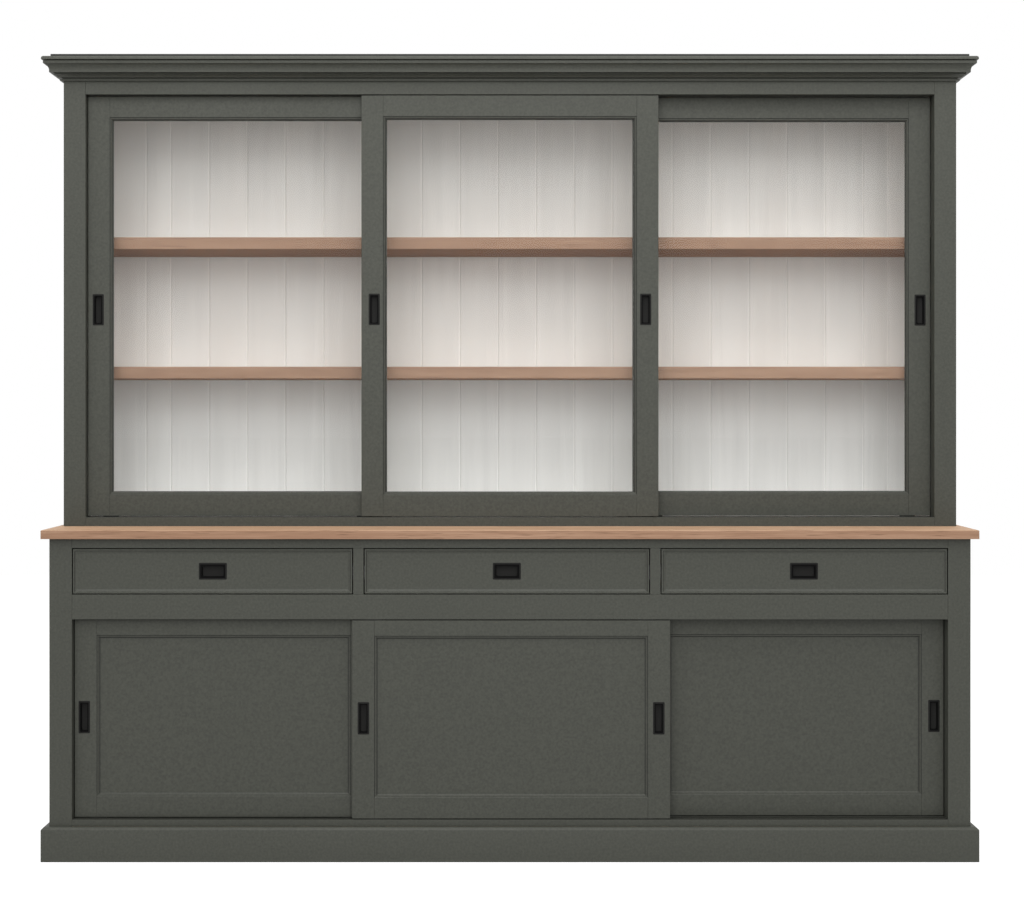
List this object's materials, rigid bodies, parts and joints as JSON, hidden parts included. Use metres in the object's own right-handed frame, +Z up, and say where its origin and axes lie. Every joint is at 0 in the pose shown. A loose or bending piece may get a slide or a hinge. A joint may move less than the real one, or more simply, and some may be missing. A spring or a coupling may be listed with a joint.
{
  "type": "glazed hutch",
  "caption": "Wide two-section hutch: glazed sliding doors over open oak shelves, oak worktop, drawers and sliding panel doors below, moulded crown, plinth and flush pulls.",
  "frame": {"origin": "on the floor, below the middle of the worktop's outline", "axes": "+X along the width to the viewer's right, +Y from the front to the wall, +Z up"},
  "size_m": [2.46, 0.52, 2.094],
  "materials": {
    "paint": "satin painted, green-grey",
    "oak": "matt oiled oak",
    "white_board": "matt off-white paint",
    "bare_wood": "bare softwood",
    "glass": "clear float glass",
    "pull_metal": "black, satin",
    "track_metal": "dark anodised",
    "slide_steel": "zinc plated",
    "glider_plastic": "matt nylon"
  },
  "bodies": {
    "carcass": {"plinth": "paint", "plinth_bearers": "bare_wood", "base_sides": "paint", "base_boards": "white_board", "base_back": "white_board", "base_face_frame": "paint", "drawer_dividers": "paint", "drawer_runners": "slide_steel", "base_partitions": "white_board", "base_shelves": "white_board", "worktop": "oak", "upper_sides": "paint", "upper_face_frame": "paint", "upper_boards": "paint", "upper_partitions": "white_board", "upper_shelves": "oak", "shelf_pins": "slide_steel", "back_planks": "white_board", "crown": "paint", "top_cap": "paint", "door_sills": "paint", "door_heads": "paint", "door_tracks": "track_metal"},
    "upper_left_door": {"upper_left_door_frame": "paint", "upper_left_door_glass": "glass", "upper_left_door_pull": "pull_metal", "upper_left_door_gliders": "glider_plastic"},
    "upper_middle_door": {"upper_middle_door_frame": "paint", "upper_middle_door_glass": "glass", "upper_middle_door_pull": "pull_metal", "upper_middle_door_gliders": "glider_plastic"},
    "upper_right_door": {"upper_right_door_frame": "paint", "upper_right_door_glass": "glass", "upper_right_door_pull": "pull_metal", "upper_right_door_gliders": "glider_plastic"},
    "lower_left_door": {"lower_left_door_frame": "paint", "lower_left_door_panel": "paint", "lower_left_door_pull": "pull_metal", "lower_left_door_gliders": "glider_plastic"},
    "lower_middle_door": {"lower_middle_door_frame": "paint", "lower_middle_door_panel": "paint", "lower_middle_door_pull": "pull_metal", "lower_middle_door_gliders": "glider_plastic"},
    "lower_right_door": {"lower_right_door_frame": "paint", "lower_right_door_panel": "paint", "lower_right_door_pull": "pull_metal", "lower_right_door_gliders": "glider_plastic"},
    "left_drawer": {"left_drawer_front": "paint", "left_drawer_box": "bare_wood", "left_drawer_slides": "slide_steel", "left_drawer_pull": "pull_metal"},
    "middle_drawer": {"middle_drawer_front": "paint", "middle_drawer_box": "bare_wood", "middle_drawer_slides": "slide_steel", "middle_drawer_pull": "pull_metal"},
    "right_drawer": {"right_drawer_front": "paint", "right_drawer_box": "bare_wood", "right_drawer_slides": "slide_steel", "right_drawer_pull": "pull_metal"}
  },
  "joints": [
    {"name": "upper_left_door_slide", "type": "slide", "parent": "carcass", "child": "upper_left_door", "axis": [1, 0, 0], "range_m": [0, 1.448]},
    {"name": "upper_middle_door_slide", "type": "slide", "parent": "carcass", "child": "upper_middle_door", "axis": [1, 0, 0], "range_m": [-0.727, 0.727]},
    {"name": "upper_right_door_slide", "type": "slide", "parent": "carcass", "child": "upper_right_door", "axis": [1, 0, 0], "range_m": [-1.448, 0]},
    {"name": "lower_left_door_slide", "type": "slide", "parent": "carcass", "child": "lower_left_door", "axis": [1, 0, 0], "range_m": [0, 1.474]},
    {"name": "lower_middle_door_slide", "type": "slide", "parent": "carcass", "child": "lower_middle_door", "axis": [1, 0, 0], "range_m": [-0.7155, 0.7095]},
    {"name": "lower_right_door_slide", "type": "slide", "parent": "carcass", "child": "lower_right_door", "axis": [1, 0, 0], "range_m": [-1.474, 0]},
    {"name": "left_drawer_slide", "type": "slide", "parent": "carcass", "child": "left_drawer", "axis": [0, -1, 0], "range_m": [0, 0.32]},
    {"name": "middle_drawer_slide", "type": "slide", "parent": "carcass", "child": "middle_drawer", "axis": [0, -1, 0], "range_m": [0, 0.32]},
    {"name": "right_drawer_slide", "type": "slide", "parent": "carcass", "child": "right_drawer", "axis": [0, -1, 0], "range_m": [0, 0.32]}
  ]
}
